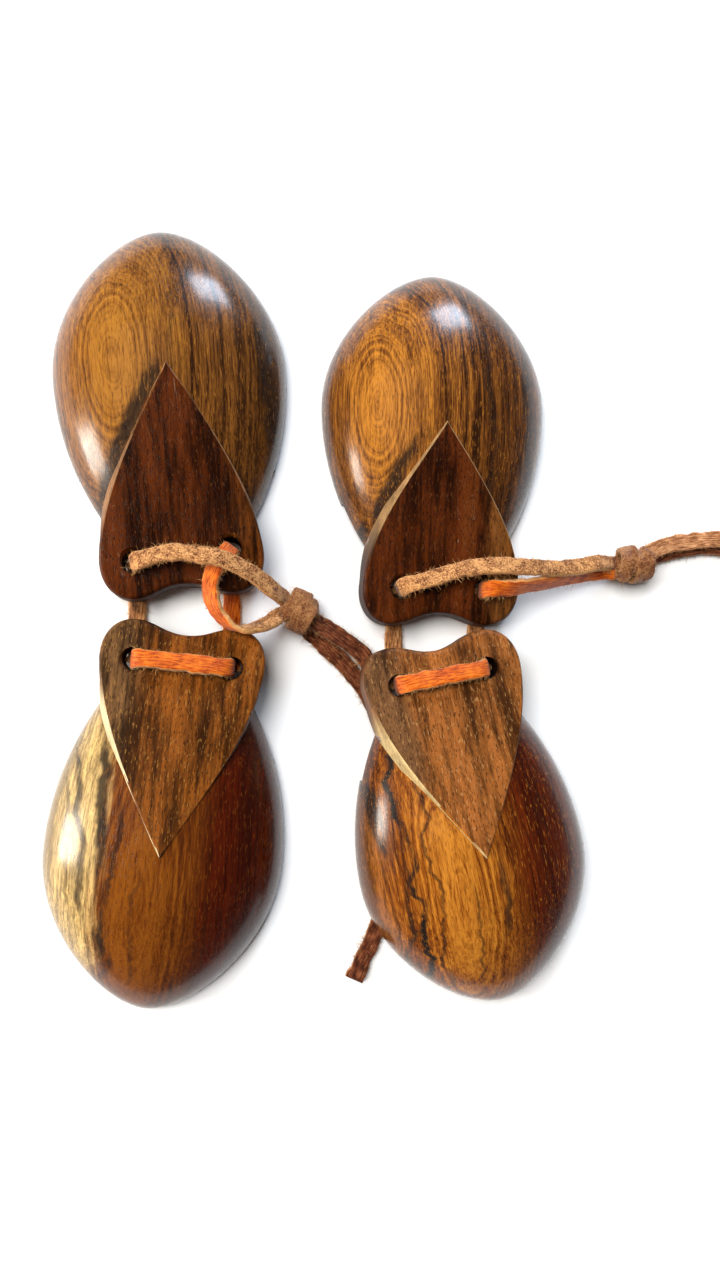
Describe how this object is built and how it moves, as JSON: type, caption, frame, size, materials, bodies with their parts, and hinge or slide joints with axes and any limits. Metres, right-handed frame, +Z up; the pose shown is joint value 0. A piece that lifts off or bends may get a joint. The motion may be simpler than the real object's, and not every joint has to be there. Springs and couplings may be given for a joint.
{
  "type": "castanets",
  "caption": "Hand castanets lying open and dome up: hollow wooden shells with pointed ear plates, each pair laced with a knotted flat leather lace.",
  "frame": {"origin": "middle of the four wooden shells, on the table plane they lie on", "axes": "+Z up out of the domes, +Y along the shells, +X across from the left pair to the right pair"},
  "size_m": [0.1899, 0.1933, 0.0214],
  "materials": {
    "wood": "glossy lacquered dark-streaked brown hardwood",
    "lace": "flat leather lace, smooth orange face and fuzzy tan suede back"
  },
  "bodies": {
    "left_upper": {"left_upper_shell": "wood", "left_upper_hinge_lace_a": "lace", "left_upper_hinge_lace_b": "lace", "left_loop_a": "lace", "left_loop_b": "lace", "left_knot": "lace", "left_tail_a": "lace", "left_tail_b": "lace"},
    "left_lower": {"left_lower_shell": "wood", "left_lower_strap": "lace", "left_lower_hinge_lace_a": "lace", "left_lower_hinge_lace_b": "lace"},
    "right_lower": {"right_lower_shell": "wood", "right_lower_strap": "lace", "right_lower_hinge_lace_a": "lace", "right_lower_hinge_lace_b": "lace"},
    "right_upper": {"right_upper_shell": "wood", "right_upper_hinge_lace_a": "lace", "right_upper_hinge_lace_b": "lace", "right_loop_a": "lace", "right_loop_b": "lace", "right_knot": "lace", "right_tail_a": "lace", "right_tail_b": "lace"}
  },
  "joints": [
    {"name": "left_fold", "type": "hinge", "parent": "left_upper", "child": "left_lower", "pos_m": [-0.0332, 0.0003, -0.0001], "axis": [1, -0.007, 0], "range_deg": [0, 178.4]},
    {"name": "right_lift", "type": "slide", "parent": "left_upper", "child": "right_lower", "axis": [0, 0, 1], "range_m": [0, 0.05]},
    {"name": "right_fold", "type": "hinge", "parent": "right_lower", "child": "right_upper", "pos_m": [0.028, -0.0046, -0.0001], "axis": [-0.9952, -0.0976, 0], "range_deg": [0, 178.4]}
  ]
}
